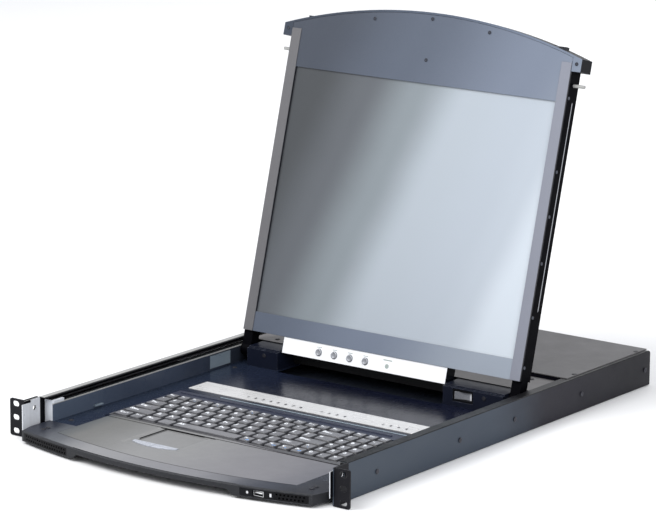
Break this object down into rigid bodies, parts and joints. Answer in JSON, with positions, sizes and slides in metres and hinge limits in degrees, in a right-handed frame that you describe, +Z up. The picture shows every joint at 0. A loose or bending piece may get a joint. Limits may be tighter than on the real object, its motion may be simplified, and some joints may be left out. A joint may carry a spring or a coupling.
{
  "type": "rackmount lcd console drawer",
  "caption": "Rack-mounted console drawer: a thin chassis on ball slides with a keyboard, a touchpad and a folding flat screen.",
  "frame": {"origin": "centre of the rack ears' hole pattern, on the ears' front faces", "axes": "+X to the right, +Y back into the rack, +Z up"},
  "size_m": [0.4826, 0.6945, 0.4509],
  "materials": {
    "black_metal": "semi-gloss powder coat",
    "grey_metal": "matte powder coat",
    "zinc": "zinc plated",
    "navy_plastic": "gloss navy",
    "dark_plastic": "fine texture",
    "grey_plastic": "fine texture",
    "bezel_plastic": "satin blue grey",
    "trim_plastic": "satin warm grey",
    "key_plastic": "satin keys with pale letters",
    "silver_plastic": "silver paint",
    "white_plastic": "gloss white",
    "screen_glass": "anti-glare screen",
    "board_green": "solder mask",
    "beige_metal": "matte beige grey"
  },
  "bodies": {
    "chassis": {"side_channel_left": "black_metal", "side_channel_right": "black_metal", "rack_ear_left": "black_metal", "rack_ear_right": "black_metal", "latch_brackets": "zinc", "slide_outer_left": "zinc", "slide_outer_right": "zinc", "rear_base": "black_metal", "rear_cover": "grey_metal", "main_board": "board_green", "power_supply": "zinc", "power_inlet": "dark_plastic", "rear_ports": "zinc", "chassis_screws": "black_metal"},
    "slide_middles": {"slide_middle_left": "zinc", "slide_middle_right": "zinc", "ball_cages": "zinc"},
    "drawer": {"slide_inner_left": "zinc", "slide_inner_right": "zinc", "drawer_tray": "black_metal", "deck_plate": "navy_plastic", "front_handle": "dark_plastic", "grille_left": "dark_plastic", "grille_right": "dark_plastic", "front_ports": "dark_plastic", "end_plates": "zinc", "palm_rest": "grey_plastic", "touchpad": "grey_plastic", "keyboard_base": "dark_plastic", "keyboard_bezel": "navy_plastic", "port_strip": "silver_plastic", "hinge_block_left": "navy_plastic", "hinge_block_right": "navy_plastic", "switch_frame": "dark_plastic", "rear_deck": "beige_metal", "hinge_pins": "zinc", "drawer_screws": "zinc"},
    "lid": {"lid_back": "black_metal", "lid_bezel": "bezel_plastic", "lcd_panel": "screen_glass", "lid_side_trims": "trim_plastic", "upper_handle": "dark_plastic", "control_strip": "white_plastic", "hinge_arms": "black_metal", "lid_screws": "black_metal"},
    "bottom_row_keys": {"bottom_row_keys": "key_plastic"},
    "shift_row_keys": {"shift_row_keys": "key_plastic"},
    "home_row_keys": {"home_row_keys": "key_plastic"},
    "tab_row_keys": {"tab_row_keys": "key_plastic"},
    "number_row_keys": {"number_row_keys": "key_plastic"},
    "function_row_keys": {"function_row_keys": "key_plastic"},
    "touchpad_button_left": {"touchpad_button_left": "silver_plastic"},
    "touchpad_button_right": {"touchpad_button_right": "silver_plastic"},
    "power_rocker": {"power_rocker": "silver_plastic"},
    "latch_pin_left": {"latch_pin_left": "zinc"},
    "latch_pin_right": {"latch_pin_right": "zinc"},
    "control_button_1": {"control_button_1": "silver_plastic"},
    "control_button_2": {"control_button_2": "silver_plastic"},
    "control_button_3": {"control_button_3": "silver_plastic"},
    "control_button_4": {"control_button_4": "silver_plastic"}
  },
  "joints": [
    {"name": "drawer_slide", "type": "slide", "parent": "chassis", "child": "drawer", "axis": [0, -1, 0], "range_m": [0, 0.42]},
    {"name": "middle_slide", "type": "slide", "parent": "chassis", "child": "slide_middles", "axis": [0, -1, 0], "range_m": [0, 0.21]},
    {"name": "lid_hinge", "type": "hinge", "parent": "drawer", "child": "lid", "pos_m": [0, 0.385, 0.0084], "axis": [1, 0, 0], "range_deg": [-15, 105.14]},
    {"name": "bottom_row_press", "type": "slide", "parent": "drawer", "child": "bottom_row_keys", "axis": [0, 0, -1], "range_m": [0, 0.0025], "stiffness_N_per_m": 500, "springref_m": -0.002},
    {"name": "shift_row_press", "type": "slide", "parent": "drawer", "child": "shift_row_keys", "axis": [0, 0, -1], "range_m": [0, 0.0025], "stiffness_N_per_m": 500, "springref_m": -0.002},
    {"name": "home_row_press", "type": "slide", "parent": "drawer", "child": "home_row_keys", "axis": [0, 0, -1], "range_m": [0, 0.0025], "stiffness_N_per_m": 500, "springref_m": -0.002},
    {"name": "tab_row_press", "type": "slide", "parent": "drawer", "child": "tab_row_keys", "axis": [0, 0, -1], "range_m": [0, 0.0025], "stiffness_N_per_m": 500, "springref_m": -0.002},
    {"name": "number_row_press", "type": "slide", "parent": "drawer", "child": "number_row_keys", "axis": [0, 0, -1], "range_m": [0, 0.0025], "stiffness_N_per_m": 500, "springref_m": -0.002},
    {"name": "function_row_press", "type": "slide", "parent": "drawer", "child": "function_row_keys", "axis": [0, 0, -1], "range_m": [0, 0.0025], "stiffness_N_per_m": 500, "springref_m": -0.002},
    {"name": "touchpad_left_click", "type": "slide", "parent": "drawer", "child": "touchpad_button_left", "axis": [0, 0, -1], "range_m": [0, 0.0006], "stiffness_N_per_m": 400, "springref_m": -0.0004},
    {"name": "touchpad_right_click", "type": "slide", "parent": "drawer", "child": "touchpad_button_right", "axis": [0, 0, -1], "range_m": [0, 0.0006], "stiffness_N_per_m": 400, "springref_m": -0.0004},
    {"name": "power_rocker_tilt", "type": "hinge", "parent": "drawer", "child": "power_rocker", "pos_m": [0.131, 0.374, 0.006], "axis": [0, 0, 1], "range_deg": [-18, 0]},
    {"name": "latch_left_slide", "type": "slide", "parent": "lid", "child": "latch_pin_left", "axis": [-1, 0, 0], "range_m": [-0.008, 0.0025], "stiffness_N_per_m": 300},
    {"name": "latch_right_slide", "type": "slide", "parent": "lid", "child": "latch_pin_right", "axis": [1, 0, 0], "range_m": [-0.008, 0.0025], "stiffness_N_per_m": 300},
    {"name": "control_1_press", "type": "slide", "parent": "lid", "child": "control_button_1", "axis": [0, 0.9653, -0.2612], "range_m": [0, 0.0008], "stiffness_N_per_m": 400, "springref_m": -0.0004},
    {"name": "control_2_press", "type": "slide", "parent": "lid", "child": "control_button_2", "axis": [0, 0.9653, -0.2612], "range_m": [0, 0.0008], "stiffness_N_per_m": 400, "springref_m": -0.0004},
    {"name": "control_3_press", "type": "slide", "parent": "lid", "child": "control_button_3", "axis": [0, 0.9653, -0.2612], "range_m": [0, 0.0008], "stiffness_N_per_m": 400, "springref_m": -0.0004},
    {"name": "control_4_press", "type": "slide", "parent": "lid", "child": "control_button_4", "axis": [0, 0.9653, -0.2612], "range_m": [0, 0.0008], "stiffness_N_per_m": 400, "springref_m": -0.0004}
  ],
  "couplings": [
    {"joint": "middle_slide", "follows": "drawer_slide", "ratio": 0.5}
  ]
}
